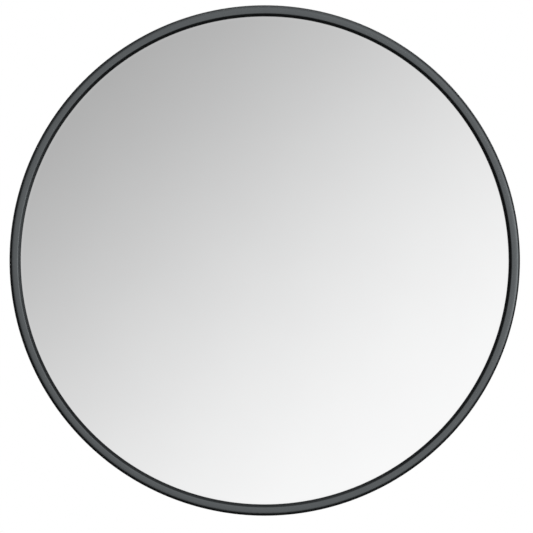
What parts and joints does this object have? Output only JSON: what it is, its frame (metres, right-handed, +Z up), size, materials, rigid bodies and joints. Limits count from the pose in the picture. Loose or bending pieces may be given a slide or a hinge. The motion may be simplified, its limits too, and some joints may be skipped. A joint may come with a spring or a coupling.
{
  "type": "convex security mirror",
  "caption": "Round convex security mirror with a dark edge trim, on a telescopic wall arm that pans, extends and tilts, with clamping knobs.",
  "frame": {"origin": "centre of the wall plate's back face, which bears on the wall", "axes": "+Z up, +Y into the wall, so the mirror faces -Y; +X to the right of someone looking at it"},
  "size_m": [0.46, 0.3504, 0.46],
  "materials": {
    "mirror_face": "bright silvered acrylic",
    "edge_trim": "satin dark grey",
    "foam_seal": "closed-cell foam",
    "moulded_cover": "finely textured black",
    "knob_plastic": "satin black",
    "powder_coat": "black powder coat",
    "casting": "black, lightly grained",
    "plated_tube": "satin plated",
    "brass_bush": "turned",
    "nylon": "natural",
    "zinc_hardware": "bright zinc"
  },
  "bodies": {
    "wall_bracket": {"wall_plate": "powder_coat", "wall_clevis": "powder_coat", "wall_rivet_1": "zinc_hardware", "wall_rivet_2": "zinc_hardware", "pan_bolt": "zinc_hardware", "pan_head_washer": "zinc_hardware", "pan_friction_washer_1": "nylon", "pan_friction_washer_2": "nylon"},
    "pan_washer": {"pan_knob_washer": "zinc_hardware"},
    "pan_knob": {"pan_knob_insert": "brass_bush", "pan_knob_grip": "knob_plastic"},
    "outer_arm": {"pan_knuckle": "casting", "pan_knuckle_pin": "zinc_hardware", "outer_tube": "powder_coat", "tube_collar": "moulded_cover", "lock_boss": "powder_coat"},
    "length_pad": {"lock_pad": "nylon"},
    "length_knob": {"lock_screw": "zinc_hardware", "lock_knob_grip": "knob_plastic"},
    "inner_arm": {"inner_tube": "plated_tube", "tube_glide": "nylon", "tilt_knuckle": "casting", "tilt_knuckle_pin": "zinc_hardware"},
    "mirror_head": {"mirror_lens": "mirror_face", "rim_trim": "edge_trim", "edge_seal": "foam_seal", "back_cover": "moulded_cover", "stiffener_plate": "zinc_hardware", "hub_plate": "powder_coat", "clinch_nut_1": "zinc_hardware", "clinch_nut_2": "zinc_hardware", "clinch_nut_3": "zinc_hardware", "clinch_nut_4": "zinc_hardware", "hub_screw_1": "zinc_hardware", "hub_screw_2": "zinc_hardware", "hub_screw_3": "zinc_hardware", "hub_screw_4": "zinc_hardware", "hub_lock_washer_1": "zinc_hardware", "hub_lock_washer_2": "zinc_hardware", "hub_lock_washer_3": "zinc_hardware", "hub_lock_washer_4": "zinc_hardware", "head_clevis": "powder_coat", "head_rivet_1": "zinc_hardware", "head_rivet_2": "zinc_hardware", "tilt_bolt": "zinc_hardware", "tilt_head_washer": "zinc_hardware", "tilt_friction_washer_1": "nylon", "tilt_friction_washer_2": "nylon"},
    "tilt_washer": {"tilt_knob_washer": "zinc_hardware"},
    "tilt_knob": {"tilt_knob_insert": "brass_bush", "tilt_knob_grip": "knob_plastic"}
  },
  "joints": [
    {"name": "pan", "type": "hinge", "parent": "wall_bracket", "child": "outer_arm", "pos_m": [0, -0.0303, 0], "axis": [0, 0, 1], "range_deg": [-45, 45]},
    {"name": "extend", "type": "slide", "parent": "outer_arm", "child": "inner_arm", "axis": [0, -1, 0], "range_m": [0, 0.085]},
    {"name": "tilt", "type": "hinge", "parent": "inner_arm", "child": "mirror_head", "pos_m": [0, -0.2453, 0], "axis": [1, 0, 0], "range_deg": [-45, 45]},
    {"name": "pan_knob_travel", "type": "slide", "parent": "wall_bracket", "child": "pan_washer", "axis": [0, 0, -1], "range_m": [0, 0.00187]},
    {"name": "pan_knob_turn", "type": "hinge", "parent": "pan_washer", "child": "pan_knob", "pos_m": [0, -0.0303, -0.028], "axis": [0, 0, -1], "range_deg": [0, 541]},
    {"name": "tilt_knob_travel", "type": "slide", "parent": "mirror_head", "child": "tilt_washer", "axis": [1, 0, 0], "range_m": [0, 0.00187]},
    {"name": "tilt_knob_turn", "type": "hinge", "parent": "tilt_washer", "child": "tilt_knob", "pos_m": [0.028, -0.2453, 0], "axis": [1, 0, 0], "range_deg": [0, 541]},
    {"name": "length_knob_travel", "type": "slide", "parent": "outer_arm", "child": "length_pad", "axis": [1, 0, 0], "range_m": [0, 0.0015]},
    {"name": "length_knob_turn", "type": "hinge", "parent": "length_pad", "child": "length_knob", "pos_m": [0.028, -0.1663, 0], "axis": [1, 0, 0], "range_deg": [0, 541]}
  ],
  "couplings": [
    {"joint": "pan_knob_turn", "follows": "pan_knob_travel", "rad_per_m": 5026.5},
    {"joint": "tilt_knob_turn", "follows": "tilt_knob_travel", "rad_per_m": 5026.5},
    {"joint": "length_knob_turn", "follows": "length_knob_travel", "rad_per_m": 6283.2}
  ]
}
